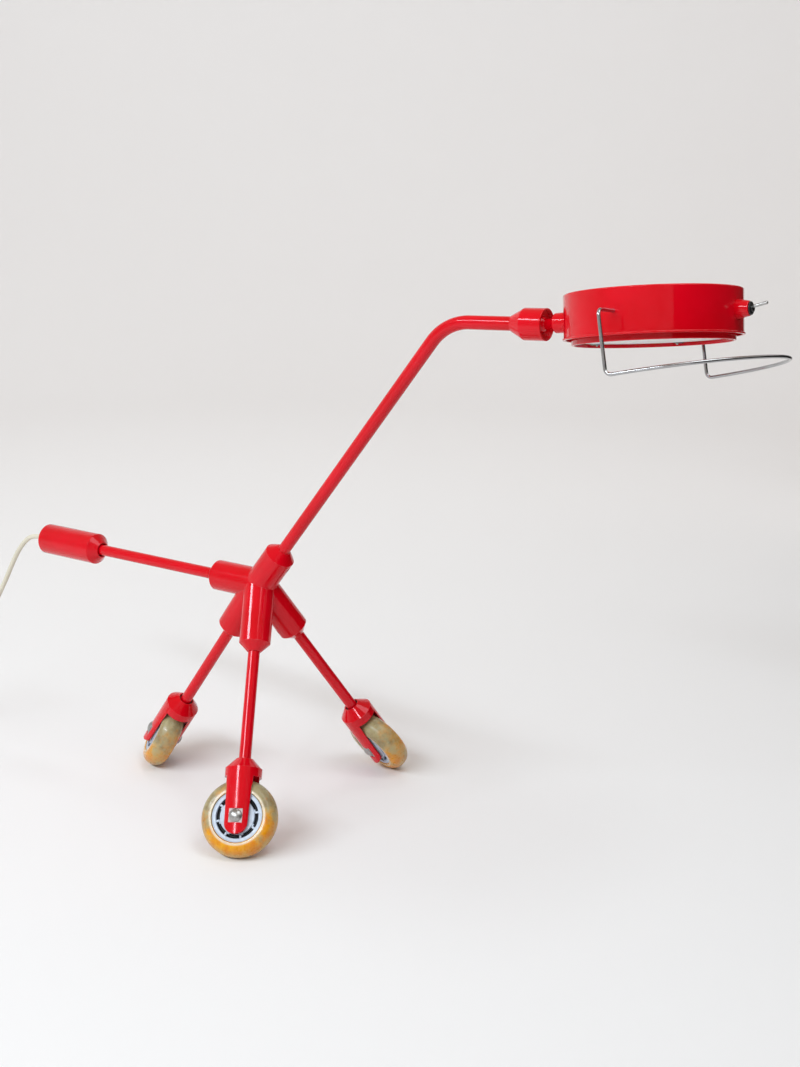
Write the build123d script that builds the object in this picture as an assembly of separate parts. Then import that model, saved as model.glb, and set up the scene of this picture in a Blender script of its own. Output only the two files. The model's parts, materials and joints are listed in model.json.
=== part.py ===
"""Rolling desk lamp on three skate wheels, in millimetres.

Row frame: Z up from the floor, X from the tail to the head, Y to the lamp's left,
origin on the floor under the middle of the lamp's box.
Hub frame: origin where the five socket axes meet, same directions, before the lamp settles
on its wheels by the small lean that the swivelled forks give it.
"""
from math import cos, hypot, pi, radians, sin, sqrt, tan
import os

from build123d import *

# ---------------------------------------------------------------- driving dimensions
RUN = 0.05                      # radial clearance of turning fits and loose sockets
PAST = 1.0                      # how far a cutting body runs past the face that it opens

# Stand
ROD_R = 6.0                     # legs and tail
SOCKET_R = 16.0
SOCKET_LIP_R = 7.2              # flat ring left at the end of each chamfered socket
LEG_SOCKET = 73.0               # socket lengths from the hub point
TAIL_SOCKET = 64.0
NECK_SOCKET = 52.5
ROD_SEAT = 34.0                 # where the rods bottom in their sockets
NECK_SEAT = 28.0
SCREW_R = 2.5                   # set screws and swivel screws
SCREW_LENGTH = 7.0
LEG_SCREW = 56.0                # set screws, along their members from the hub point
TAIL_SCREW = 48.0
NECK_SCREW = 37.0
NECK_SCREW_TURN = -78.0         # in front of the neck, a little to the left
WEIGHT_SCREW = 284.0
WIRE_WAY_R = 4.0                # wiring passage through the hub
LEG_TILT = 35.0                 # from the vertical
LEG_AZIMUTHS = {"right": -60.0, "left": 60.0, "rear": 180.0}
WHEEL_DISTANCE = 241.0          # hub point to wheel centre, along the leg
SWIVELS = {"right": 5.9, "left": 168.7, "rear": -37.3}
ORIGIN_AHEAD = 107.1            # row origin, ahead of the hub point

# Forks
FORK_TOP = 183.0                # distances along the leg from the hub point
FORK_R = 18.25
FORK_LIP_R = 8.5
FORK_BORE_R = 7.5
FORK_WEB = 195.2                # the fork's bush seat ends here
SLOT_TOP = 201.5
SLOT_HALF = 12.5
SHOULDER = 203.5
SHOULDER_R = 9.0
ARM_ROOT_HALF = 12.4             # half width of each arm under its shoulder
ARM_HALF = 11.5                 # and at its round end
ARM_END = 247.0                 # centre of the arm's round end
SEAT_FLOOR = 16.2               # square recess in each arm, from the wheel's middle
SEAT_TOP = 17.2
SEAT_SIDE = 13.4
SWIVEL_HEAD_R = 4.6
SWIVEL_SCREW_REACH = 15.0       # how far the swivel screw goes up into the leg
BOSS_R = 5.5
BOSS_FACE = 11.6

# Wheels
WHEEL_R = 38.0
WHEEL_W = 24.0
CROWN_R = 28.0                  # radius where the tyre's crown begins
CORE_R = 25.0
CORE_HALF = 11.2
CORE_SLOT_R = (17.3, 21.1)
CORE_SLOTS = 8
BEARING_R = 11.0
BEARING_BORE_R = 4.0
BEARING_W = 7.0
BEARING_FACE = 11.5
AXLE_HEAD_R = 6.4
AXLE_HEAD_H = 3.2

# Tail
WEIGHT_R = 17.0
WEIGHT_ENDS = (224.4, 317.5)    # distances along the tail from the hub point
WEIGHT_LIP_R = 8.5
TAIL_ROD_END = 296.0
TAIL_WALL = 1.5
GLAND_R = 3.95
GLAND_FLANGE_R = 4.9
GLAND_LENGTH = 22.0
GLAND_OUT = 3.0                 # how far the strain relief stands out of the counterweight
GLAND_FLANGE_DEPTH = 14.0

# Arm
NECK_R = 6.35
NECK_WALL = 1.5
NECK_ELEVATION = 52.5
BEND_DISTANCE = 358.0           # hub point to the corner of the bent neck
BEND_R = 52.0
UPPER_ELEVATION = 2.5
BALL_DISTANCE = 94.0            # corner of the neck to the ball's centre
CUP_R = 14.2
CUP_TAIL_R = 7.6
CUP_LENGTH = 33.5
CUP_CONE = 12.5
CUP_MOUTH = 8.0                 # ball centre to the cup's mouth
CUP_BORE_R = 12.7
COLLAR_FACE = 4.5               # ball centre to the collar's outer face
BALL_R = 8.5
SEAT_RADII = {"inner": (8.6, 9.5), "outer": (9.6, 10.5)}
SEAT_RIM = 30.0                 # the seats' rims lie this far behind the ball's equator

# Head, in its own frame: origin at the drum's middle, X along the stem, Z up through the top
HEAD_YAW = -0.75
HEAD_PITCH = 7.57
HEAD_ROLL = -6.76
HEAD_DISTANCE = 106.8           # ball centre to the drum's axis
HEAD_RISE = 1.05                # drum middle above the stem's axis
DRUM_R = 73.0
DRUM_H = 37.5
RIM_R = 74.0                    # low lip round the drum's open end
RIM_H = 1.6
DRUM_WALL = 1.5
NECK_PIN_R = 4.2
STEM_R = 8.7
STEM_LIP_R = 5.0
STEM_START = 13.7               # from the ball's centre
RING_R = 67.0
RING_WALL = 2.2
RING_DROP = 4.5                 # below the drum's rim
GLASS_R = 64.3
GLASS_T = 3.0
GLASS_RISE = 3.2                # above the ring's lower edge
CLIP_ANGLES = (95.0, 165.0, -85.0, -15.0)
LAMP_RISE = 6.5                 # lamp's axis above the drum's middle
BOSS_BASE_R = 8.2
BOSS_TIP_R = 5.9
SWITCH_BUSH_R = 3.0
SWITCH_BOSS_END = 83.4          # from the drum's axis
LEVER_TILT = 12.0
LEVER_PIVOT = 80.0
LEVER_END = 98.0
BAIL_WIRE_R = 1.5
BAIL_HALF = 99.5                # half the width between the bail's legs
BAIL_DROP = 51.0
BAIL_BEND_R = 5.0
BAIL_TILT = 6.3                 # nose up from the drum's own plane

# Cord and plug, in the row frame
CORD_R = 2.75
CORD_ROUTE = [                  # from the strain relief to the coil on the floor
    (-439.6, 0.0, 234.2),
    (-453.5, -0.3, 228.5),
    (-470.6, -1.5, 209.8),
    (-494.1, -4.0, 166.0),
    (-517.1, -12.0, 124.0),
    (-531.6, -30.0, 82.0),
    (-538.1, -54.0, 44.0),
    (-538.6, -78.0, 14.5),
    (-538.3, -98.0, CORD_R),
]
COIL_CENTRE = (-495.2, -118.0)
COIL_INNER_TURN = 23.5          # radius of the innermost turn
COIL_OUTER_TURN = 43.1
COIL_TOP = 11.0
PLUG_HEADING = -55.0            # direction in which the plug points, on the floor
PLUG_START = 24.0               # from the cord's tangent point to the plug's relief
TOP_LAYER_TURN = 41.2           # radius at which the cord leaves the coil's top layer
PLUG_RELIEF = 20.0
PLUG_LENGTH = 30.0
PLUG_WIDTH = 27.0
PLUG_H = 14.0
PIN_R = 2.0
PIN_LENGTH = 19.0
PIN_SPACING = 19.0


# ---------------------------------------------------------------- helpers
def turned(*outline):
    """Solid of revolution about Z from (radius, height) points."""
    face = make_face(Polyline(*outline, close=True))
    return Rot(90, 0, 0) * revolve(face, axis=Axis.Y)


def rod(radius, start, end, bore=0.0):
    """Round bar along Z, hollow if a bore is given."""
    if bore:
        return turned((bore, start), (radius, start), (radius, end), (bore, end))
    return turned((0, start), (radius, start), (radius, end), (0, end))


def direction(azimuth, elevation):
    a, e = radians(azimuth), radians(elevation)
    return Vector(cos(e) * cos(a), cos(e) * sin(a), sin(e))


def union(shapes):
    whole = shapes[0]
    for shape in shapes[1:]:
        whole = whole + shape
    return whole


def group(shapes):
    """Separate solids that share one node."""
    return Compound(children=[solid for shape in shapes for solid in shape.solids()])


def capped_socket(length):
    """Solid round socket along Z with a 45 degree chamfer at its far end."""
    shoulder = length - (SOCKET_R - SOCKET_LIP_R)
    return turned((0, 0), (SOCKET_R, 0), (SOCKET_R, shoulder), (SOCKET_LIP_R, length), (0, length))


# ---------------------------------------------------------------- frames
def leg_frame(side):
    """Z runs down the leg and X is the axle of a fork that isn't swivelled."""
    azimuth = LEG_AZIMUTHS[side]
    axle = direction(azimuth, LEG_TILT)
    down = direction(azimuth, LEG_TILT - 90)
    return Plane(origin=(0, 0, 0), x_dir=axle, z_dir=down).location


def fork_frame(side):
    return leg_frame(side) * Rot(0, 0, SWIVELS[side])


def wheel_frame(side):
    """Origin at the wheel's centre, Z along its axle."""
    return fork_frame(side) * Pos(0, 0, WHEEL_DISTANCE) * Rot(0, 90, 0)


def axis_of(frame, axis=(0, 0, 1)):
    """Direction in the outer frame of an axis of this frame."""
    tip = (frame * Pos(*axis)).position
    return tip - frame.position


def lowest_point(side):
    """Point of a tyre that meets the floor, its crown being half an ellipse."""
    frame = wheel_frame(side)
    axle = axis_of(frame)
    if axle.Z < 0:
        axle = axle * -1
    rise, lean = axle.Z, sqrt(1 - axle.Z**2)
    crown, half = WHEEL_R - CROWN_R, WHEEL_W / 2
    reach = hypot(crown * lean, half * rise)
    up = (Vector(0, 0, 1) - axle * rise) * (1 / lean)
    return frame.position - up * (CROWN_R + crown**2 * lean / reach) - axle * (half**2 * rise / reach)


def stance():
    """Location that carries the hub frame to the row frame, the wheels' low points on Z = 0."""
    right, left, rear = (lowest_point(side) for side in ("right", "left", "rear"))
    normal = (left - right).cross(rear - right).normalized()
    if normal.Z < 0:
        normal = normal * -1
    ahead = (Vector(1, 0, 0) - normal * normal.X).normalized()
    foot = normal * right.dot(normal)
    floor = Plane(origin=foot + ahead * ORIGIN_AHEAD, x_dir=ahead, z_dir=normal)
    return floor.location.inverse()


TAIL = Plane(origin=(0, 0, 0), x_dir=(0, 0, 1), z_dir=(-1, 0, 0)).location
NECK = Plane(origin=(0, 0, 0), x_dir=(0, 1, 0), z_dir=direction(0, NECK_ELEVATION)).location
BEND = direction(0, NECK_ELEVATION) * BEND_DISTANCE
UPPER = Plane(origin=BEND, x_dir=(0, 1, 0), z_dir=direction(0, UPPER_ELEVATION)).location
CUP = UPPER * Pos(0, 0, BALL_DISTANCE + CUP_MOUTH - CUP_LENGTH)
BALL = Pos(*(UPPER * Pos(0, 0, BALL_DISTANCE)).position)


def head_axes():
    """Ball centre with X along the stem: yaw, then pitch, then roll about the stem."""
    return BALL * Rot(0, 0, HEAD_YAW) * Rot(0, -HEAD_PITCH, 0) * Rot(HEAD_ROLL, 0, 0)


STEM = head_axes() * Rot(0, 90, 0)
HEAD = head_axes() * Pos(HEAD_DISTANCE, 0, HEAD_RISE)
BAIL = HEAD * Rot(0, -BAIL_TILT, 0)
SWITCH = HEAD * Rot(0, 90, 0)


# ---------------------------------------------------------------- stand
def set_screw():
    """Grub screw with a hexagon socket, its tip at Z = 0, pointing down."""
    top, tip_r, chamfer, key_r, key_depth = SCREW_LENGTH, 1.8, 0.4, 1.45, 2.6
    rim = SCREW_R - chamfer
    body = turned((0, 0), (tip_r, 0), (SCREW_R, SCREW_R - tip_r), (SCREW_R, top - chamfer), (rim, top),
                  (0, top))
    return body - Pos(0, 0, top - key_depth) * extrude(RegularPolygon(key_r, 6), key_depth + PAST)


def screw_site(frame, along, angle):
    """Frame with its origin on a member's axis and Z leaving it squarely at this distance and angle."""
    return frame * Rot(0, 0, angle) * Pos(0, 0, along) * Rot(0, 90, 0)


def screw_sites():
    """Set screws of the legs, the tail and the neck, with the radius of the member that each one holds."""
    sites = [(screw_site(leg_frame(side), LEG_SCREW, 180), ROD_R) for side in LEG_AZIMUTHS]
    sites.append((screw_site(TAIL, TAIL_SCREW, 180), ROD_R))
    sites.append((screw_site(NECK, NECK_SCREW, NECK_SCREW_TURN), NECK_R))
    return sites


def make_hub():
    legs = [leg_frame(side) * capped_socket(LEG_SOCKET) for side in LEG_AZIMUTHS]
    tail, neck = TAIL * capped_socket(TAIL_SOCKET), NECK * capped_socket(NECK_SOCKET)
    body = union([*legs, tail, neck, Sphere(SOCKET_R)])
    for side in LEG_AZIMUTHS:
        body = body - leg_frame(side) * rod(ROD_R + RUN, ROD_SEAT, LEG_SOCKET + PAST)
    body = body - TAIL * rod(ROD_R + RUN, ROD_SEAT, TAIL_SOCKET + PAST)
    body = body - NECK * rod(NECK_R + RUN, NECK_SEAT, NECK_SOCKET + PAST)
    body = body - TAIL * rod(WIRE_WAY_R, 0, ROD_SEAT + PAST) - NECK * rod(WIRE_WAY_R, 0, NECK_SEAT + PAST)
    body = body - Sphere(WIRE_WAY_R)
    for site, held_r in screw_sites():
        body = body - site * rod(SCREW_R, held_r, SOCKET_R + PAST)
    return body


def make_set_screws():
    """The tips stop just short of the members that they hold."""
    gap = 0.1
    screws = [site * Pos(0, 0, held_r + gap) * set_screw() for site, held_r in screw_sites()]
    screws.append(screw_site(TAIL, WEIGHT_SCREW, 180) * Pos(0, 0, ROD_R + gap) * set_screw())
    return group(screws)


def make_leg_rod():
    """Bar with a tapped hole for the swivel screw in its lower end."""
    bar = rod(ROD_R, ROD_SEAT + 0.5, FORK_WEB - 0.2)
    return bar - rod(SCREW_R, FORK_WEB - SWIVEL_SCREW_REACH - PAST, FORK_WEB)


def make_swivel_screw():
    """Countersunk screw whose head holds the fork's web and lets it turn."""
    start, head, face, rim = FORK_WEB - SWIVEL_SCREW_REACH, SLOT_TOP - 3.0, SLOT_TOP - 0.3, SWIVEL_HEAD_R
    key_r, key_depth = 1.7, 1.8
    screw = turned((0, start), (SCREW_R, start), (SCREW_R, head), (rim, face - 0.5), (rim, face), (0, face))
    return screw - Pos(0, 0, face - key_depth) * extrude(RegularPolygon(key_r, 6), key_depth + PAST)


def make_tail_rod():
    return rod(ROD_R, ROD_SEAT + 0.5, TAIL_ROD_END, bore=ROD_R - TAIL_WALL)


def make_counterweight():
    """Solid bar with chamfered ends, a mouth round the tail and a stepped hole for the strain relief."""
    near, far = WEIGHT_ENDS
    chamfer, mouth = WEIGHT_R - WEIGHT_LIP_R, 6.0
    body = turned((0, near), (WEIGHT_LIP_R, near), (WEIGHT_R, near + chamfer), (WEIGHT_R, far - chamfer),
                  (WEIGHT_LIP_R, far), (0, far))
    body = body - rod(WEIGHT_LIP_R - 1, near - PAST, near + mouth)
    body = body - rod(ROD_R + RUN, near, TAIL_ROD_END + 0.5)
    body = body - rod(GLAND_FLANGE_R + 0.1, TAIL_ROD_END, far - GLAND_FLANGE_DEPTH)
    body = body - rod(GLAND_R + RUN, far - GLAND_LENGTH, far + PAST)
    return body - screw_site(Location(), WEIGHT_SCREW, 180) * rod(SCREW_R, ROD_R, WEIGHT_R + PAST)


def make_cord_gland():
    """Tapered strain relief, most of it inside the counterweight, behind a flange that can't pull out."""
    far = WEIGHT_ENDS[1]
    inner, flange, tip = far - GLAND_LENGTH + GLAND_OUT, far - GLAND_FLANGE_DEPTH, far + GLAND_OUT
    return turned((0, inner), (GLAND_FLANGE_R, inner), (GLAND_FLANGE_R, flange), (GLAND_R, flange),
                  (GLAND_R, far - 1), (CORD_R + 0.3, tip), (0, tip))


# ---------------------------------------------------------------- forks
def arm_outline():
    """Side view of the fork across the axle: a full-width body, then a tapered arm with a round end."""
    wide, top = FORK_R + 1, FORK_TOP - 1
    dip = SHOULDER_R * (1 - 1 / sqrt(2))
    corner, root = ARM_ROOT_HALF + SHOULDER_R, SHOULDER + SHOULDER_R
    edges = [Line((-wide, top), (wide, top)), ThreePointArc((ARM_HALF, ARM_END), (0, ARM_END + ARM_HALF),
                                                            (-ARM_HALF, ARM_END))]
    for side in (-1, 1):
        middle = (side * (ARM_ROOT_HALF + dip), SHOULDER + dip)
        edges += [
            Line((side * wide, top), (side * wide, SHOULDER)),
            Line((side * wide, SHOULDER), (side * corner, SHOULDER)),
            ThreePointArc((side * corner, SHOULDER), middle, (side * ARM_ROOT_HALF, root)),
            Line((side * ARM_ROOT_HALF, root), (side * ARM_HALF, ARM_END)),
        ]
    return make_face(Wire(edges))


def make_fork():
    chamfer = FORK_R - FORK_LIP_R
    end = ARM_END + ARM_HALF + 1
    body = turned((0, FORK_TOP), (FORK_LIP_R, FORK_TOP), (FORK_R, FORK_TOP + chamfer), (FORK_R, end),
                  (0, end))
    side_view = Plane(origin=(-FORK_R - 1, 0, 0), x_dir=(0, 1, 0), z_dir=(1, 0, 0))
    body = body & extrude(side_view * arm_outline(), 2 * FORK_R + 2)
    slot_length = end - SLOT_TOP + 1
    body = body - Pos(0, 0, SLOT_TOP + slot_length / 2) * Box(2 * SLOT_HALF, 3 * FORK_R, slot_length)
    body = body - rod(FORK_BORE_R, FORK_TOP - 1, FORK_WEB)
    hole_r, sink_r = SCREW_R + 0.1, SWIVEL_HEAD_R + 0.2
    low, high = FORK_WEB - PAST, SLOT_TOP + PAST
    body = body - turned((0, low), (hole_r, low), (hole_r, SLOT_TOP - 3.1), (sink_r, SLOT_TOP - 0.9),
                         (sink_r, high), (0, high))
    for way in (-1, 1):
        at_axle = Pos(0, 0, WHEEL_DISTANCE) * Rot(0, 90 * way, 0)
        body = body + at_axle * rod(BOSS_R, BOSS_FACE, SLOT_HALF + 1)
        pocket = Box(SEAT_SIDE + 0.2, SEAT_SIDE + 0.2, 10, align=(Align.CENTER, Align.CENTER, Align.MIN))
        body = body - at_axle * Pos(0, 0, SEAT_FLOOR) * pocket
        body = body - at_axle * rod(BEARING_BORE_R, 0, 25)
    return body


def make_swivel_bush():
    return rod(FORK_BORE_R - 0.02, FORK_TOP + 1.8, FORK_WEB - 0.1, bore=ROD_R + RUN)


def dome_head(face):
    """Low domed head whose flat side is at this height."""
    rim = 0.7
    rise = AXLE_HEAD_H - rim
    dome_r = (AXLE_HEAD_R**2 + rise**2) / (2 * rise)
    top = face + AXLE_HEAD_H
    return rod(AXLE_HEAD_R, face, top) & Pos(0, 0, top - dome_r) * Sphere(dome_r)


def make_axle_barrel():
    """Hollow axle; its head is on the -Z side of the wheel frame."""
    shank = rod(BEARING_BORE_R - 0.01, -SEAT_TOP, SEAT_TOP - 0.3)
    head = Rot(180, 0, 0) * dome_head(SEAT_TOP)
    return shank + head - rod(3.0, -4, SEAT_TOP)


def make_axle_screw():
    return rod(2.98, -3, SEAT_TOP) + dome_head(SEAT_TOP)


def make_axle_seats():
    """Square plates under the axle's heads, one in each arm's recess."""
    middle, thickness = (SEAT_FLOOR + SEAT_TOP) / 2, SEAT_TOP - SEAT_FLOOR
    plate = Pos(0, 0, middle) * (Box(SEAT_SIDE, SEAT_SIDE, thickness) - Cylinder(BEARING_BORE_R, 2 * thickness))
    return group([plate, Rot(180, 0, 0) * plate])


# ---------------------------------------------------------------- wheels
def make_tyre():
    half, lip = WHEEL_W / 2, CORE_HALF
    crown = EllipticalCenterArc((CROWN_R, 0), WHEEL_R - CROWN_R, half, start_angle=-90, arc_size=180)
    outline = [
        crown,
        Line((CROWN_R, half), (CORE_R + 1, half)),
        Line((CORE_R + 1, half), (CORE_R, lip)),
        Line((CORE_R, lip), (CORE_R, -lip)),
        Line((CORE_R, -lip), (CORE_R + 1, -half)),
        Line((CORE_R + 1, -half), (CROWN_R, -half)),
    ]
    return Rot(90, 0, 0) * revolve(make_face(outline), axis=Axis.Y)


def make_wheel_core():
    """Rim, hub and eight ribs, with a hub seat for a bearing on each side."""
    slot_in, slot_out = CORE_SLOT_R
    lip, rib_width, rib_step = 1.6, 3.4, 0.8
    rim = rod(CORE_R, -CORE_HALF, CORE_HALF, bore=slot_out)
    hub = rod(slot_in, -CORE_HALF, CORE_HALF, bore=BEARING_R - lip)
    hub = hub - rod(BEARING_R, BEARING_FACE - BEARING_W, CORE_HALF + PAST)
    hub = hub - rod(BEARING_R, -CORE_HALF - PAST, BEARING_W - BEARING_FACE)
    core = rim + hub
    rib = Box(slot_out - slot_in + 2 * PAST, rib_width, 2 * (CORE_HALF - rib_step))
    rib = Pos((slot_in + slot_out) / 2, 0, 0) * rib
    for i in range(CORE_SLOTS):
        core = core + Rot(0, 0, 360 * i / CORE_SLOTS) * rib
    return core


def make_bearings():
    """Two shielded ball bearings, drawn as closed rings with shallow shields."""
    bore, inner, outer, shield = BEARING_BORE_R + RUN, 6.0, 9.3, 0.5
    low, high = BEARING_FACE - BEARING_W, BEARING_FACE
    ring = turned((bore, low), (BEARING_R, low), (BEARING_R, high), (outer, high), (outer, high - shield),
                  (inner, high - shield), (inner, high), (bore, high))
    return group([ring, Rot(180, 0, 0) * ring])


def make_bearing_spacer():
    half = BEARING_FACE - BEARING_W
    return rod(5.6, -half, half, bore=BEARING_BORE_R + RUN)


# ---------------------------------------------------------------- arm
def neck_path():
    start = direction(0, NECK_ELEVATION) * (NECK_SEAT + 0.5)
    end = (UPPER * Pos(0, 0, BALL_DISTANCE + CUP_MOUTH - CUP_LENGTH + 10.5)).position
    return FilletPolyline(start, BEND, end, radius=BEND_R)


def make_neck_tube():
    path = neck_path()
    start = Plane(origin=path @ 0, z_dir=path % 0)
    ring = start * (Circle(NECK_R) - Circle(NECK_R - NECK_WALL))
    return sweep(ring, path=path)


def make_ball_cup():
    """Turned cup: conical back, round body, spherical pocket behind the ball, bore at the mouth."""
    centre = CUP_LENGTH - CUP_MOUTH
    body = turned((0, 0), (CUP_TAIL_R, 0), (CUP_R, CUP_CONE), (CUP_R, CUP_LENGTH), (0, CUP_LENGTH))
    body = body - rod(NECK_R + RUN, -1, 11) - rod(WIRE_WAY_R, 10, 20)
    body = body - Pos(0, 0, centre) * Sphere(SEAT_RADII["outer"][1] + 0.1)
    return body - rod(CUP_BORE_R, centre + 0.2, CUP_LENGTH + 1)


def make_ball_collar():
    """Threaded collar that keeps the ball in the cup, origin at the ball's centre."""
    collar = rod(CUP_BORE_R - RUN, 0.4, COLLAR_FACE)
    key_hole = Pos(10.4, 0, COLLAR_FACE) * Cylinder(1.0, 4)
    collar = collar - key_hole - Rot(0, 0, 180) * key_hole
    return collar - Sphere(BALL_R + 0.1)


def make_ball_seat(name):
    """Nylon dish behind the ball, origin at the ball's centre, open towards +Z."""
    inner, outer = SEAT_RADII[name]
    rim = -outer * sin(radians(SEAT_RIM))
    shell = Sphere(outer) - Sphere(inner) - rod(WIRE_WAY_R, -outer - 1, 0)
    return shell - Pos(0, 0, rim + 20) * Box(40, 40, 40)


# ---------------------------------------------------------------- head
def make_ball_stem():
    """Ball, pin and stem in one turned piece along Z, shaped to the drum's wall, bored for the wires."""
    wall = HEAD_DISTANCE - DRUM_R
    chamfer = STEM_R - STEM_LIP_R
    stem = turned((0, STEM_START), (STEM_LIP_R, STEM_START), (STEM_R, STEM_START + chamfer),
                  (STEM_R, wall + 2), (5.0, wall + 2), (5.0, wall + 8), (0, wall + 8))
    body = Sphere(BALL_R) + rod(NECK_PIN_R, 0, STEM_START + 1) + stem
    drum = Pos(HEAD_RISE * -1, 0, HEAD_DISTANCE) * Rot(0, 90, 0) * Cylinder(DRUM_R, DRUM_H)
    keep = rod(5.0, wall - 1, wall + 9)
    body = (body - drum) + (keep & body)
    return body - rod(2.2, -BALL_R - 1, wall + 9)


def make_stem_nut():
    """Hexagon nut inside the drum, on the stem's threaded end."""
    wall = HEAD_DISTANCE - DRUM_R
    nut = Pos(0, 0, wall + DRUM_WALL + 0.6) * extrude(RegularPolygon(8.5, 6), 4)
    return nut - rod(5.0, 0, wall + 20)


def make_drum_shell():
    """Shallow round box, open below."""
    top, low, inner = DRUM_H / 2, -DRUM_H / 2, DRUM_R - DRUM_WALL
    edge = 1.0
    shell = turned((0, top), (DRUM_R - edge, top), (DRUM_R, top - edge), (DRUM_R, low + RIM_H),
                   (RIM_R, low + RIM_H), (RIM_R, low), (inner, low), (inner, top - DRUM_WALL), (0, top - DRUM_WALL))
    shell = shell - Pos(-DRUM_R, 0, -HEAD_RISE) * Rot(0, 90, 0) * Cylinder(5.05, 8)
    shell = shell - Pos(DRUM_R, 0, 0) * Rot(0, 90, 0) * Cylinder(6.0, 8)
    return shell - Rot(90, 0, 0) * Cylinder(BAIL_WIRE_R + 0.08, 3 * DRUM_R)


def make_inner_ring():
    """Ring that carries the glass; its flange sits against the inside of the drum's wall."""
    low = -DRUM_H / 2 - RING_DROP
    inner, outer, flange, thickness, edge = RING_R - RING_WALL, DRUM_R - DRUM_WALL - 0.1, low + 9.0, 1.5, 0.7
    return turned((inner, low), (RING_R - edge, low), (RING_R, low + edge), (RING_R, flange), (outer, flange),
                  (outer, flange + thickness), (inner, flange + thickness))


GLASS_LOW = -DRUM_H / 2 - RING_DROP + GLASS_RISE


def make_diffuser():
    return rod(GLASS_R, GLASS_LOW, GLASS_LOW + GLASS_T)


def make_diffuser_clips():
    """Spring tabs under the glass, each with a bead, bent from the ring's inside."""
    root, tip, root_half, tip_half, thickness = RING_R - RING_WALL, 59.5, 5.0, 1.2, 0.9
    bead_at, bead_r, face = 61.4, 1.1, GLASS_LOW - 1.0
    tab = Polyline((root, -root_half), (tip, -tip_half), (tip, tip_half), (root, root_half), close=True)
    bead = Pos(bead_at, 0, face) * (Sphere(bead_r) - rod(2 * bead_r, thickness, 3 * bead_r))
    clip = extrude(Pos(0, 0, face) * make_face(tab), thickness) + bead
    clips = group([Rot(0, 0, angle) * clip for angle in CLIP_ANGLES])
    return clips - rod(RING_R, face - bead_r - PAST, GLASS_LOW, bore=root - 0.01)


def make_reflector():
    """Shallow spun dish above the glass, with a hole for the lampholder."""
    base, top, sheet, rim, crown, hole = GLASS_LOW + GLASS_T + 0.4, 13.0, 0.8, 64.0, 34.0, 17.0
    return turned((rim - 1, base), (rim, base), (rim, base + sheet), (crown, top), (hole, top),
                  (hole, top - sheet), (crown - 0.6, top - sheet))


def make_lampholder():
    """Ceramic block and post under the drum's top, with two contact holes facing the lamp."""
    middle, length, width, height = -10.0, 16.0, 18.0, 9.0
    post_low, post_top = LAMP_RISE + 5.5, DRUM_H / 2 - DRUM_WALL
    block = Pos(middle, 0, LAMP_RISE + 1) * Box(length, width, height)
    for side in (-1, 1):
        block = block - Pos(middle + 7, 5 * side, LAMP_RISE) * Rot(0, 90, 0) * Cylinder(0.8, 8)
    return block + Pos(middle, 0, (post_low + post_top) / 2) * Box(10, 12, post_top - post_low)


def make_lamp_capsule():
    """Halogen capsule lying along the drum, with its two pins in the lampholder."""
    glass = turned((0, 0), (5.2, 0), (5.5, 1), (5.5, 20), (4.2, 23.5), (1.6, 25), (0, 25.4))
    bulb = Pos(-1.8, 0, LAMP_RISE) * Rot(0, 90, 0) * glass
    for side in (-1, 1):
        bulb = bulb + Pos(-1.4, 2.5 * side, LAMP_RISE) * Rot(0, -90, 0) * rod(0.5, 0, 0.5)
    return bulb


def make_switch_boss():
    """Cone standing off the drum's wall, its back shaped to the wall, with a spigot through the wall."""
    start, end = DRUM_R - 3, SWITCH_BOSS_END
    slope = (BOSS_BASE_R - BOSS_TIP_R) / (end - DRUM_R)
    boss = turned((0, start), (BOSS_BASE_R + slope * (DRUM_R - start), start), (BOSS_TIP_R, end), (0, end))
    wall = Rot(0, 90, 0) * Cylinder(DRUM_R, DRUM_H + 10)
    boss = (boss - wall) + rod(BOSS_TIP_R, start - 1, DRUM_R + 1)
    return boss - rod(SWITCH_BUSH_R + RUN, start - 2, end + PAST)


def make_switch_body():
    """Toggle switch: case inside the drum, threaded bush through the boss, open mouth for the lever."""
    case_end, case_depth, bush_end, mouth_r = DRUM_R - 4.6, 10.0, 86.0, 2.3
    case = Pos(0, 0, case_end - case_depth / 2) * Box(8, 13, case_depth)
    bush = rod(SWITCH_BUSH_R, case_end - 1, bush_end)
    mouth = Pos(0, 0, LEVER_PIVOT) * Sphere(mouth_r)
    flare = turned((0, LEVER_PIVOT), (1.9, LEVER_PIVOT), (2.7, bush_end + 1), (0, bush_end + 1))
    lugs = [Pos(0, 4 * i, case_end - case_depth - 3) * Box(2, 0.8, 6.2) for i in (-1, 0, 1)]
    return union([case + bush] + lugs) - mouth - flare


def make_switch_collar():
    """Black face washer at the boss's tip."""
    return rod(BOSS_TIP_R, SWITCH_BOSS_END, SWITCH_BOSS_END + 1.2, bore=SWITCH_BUSH_R + RUN)


def make_toggle_lever():
    """Lever with its pivot ball, origin at the pivot, before it is tilted."""
    length = LEVER_END - LEVER_PIVOT
    return turned((0, -1), (1.15, 0), (1.15, 3), (1.45, length - 1.5), (1.45, length - 0.6), (0.9, length),
                  (0, length)) + Sphere(1.9)


TOGGLE = HEAD * Pos(LEVER_PIVOT, 0, 0) * Rot(0, -LEVER_TILT, 0)


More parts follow.
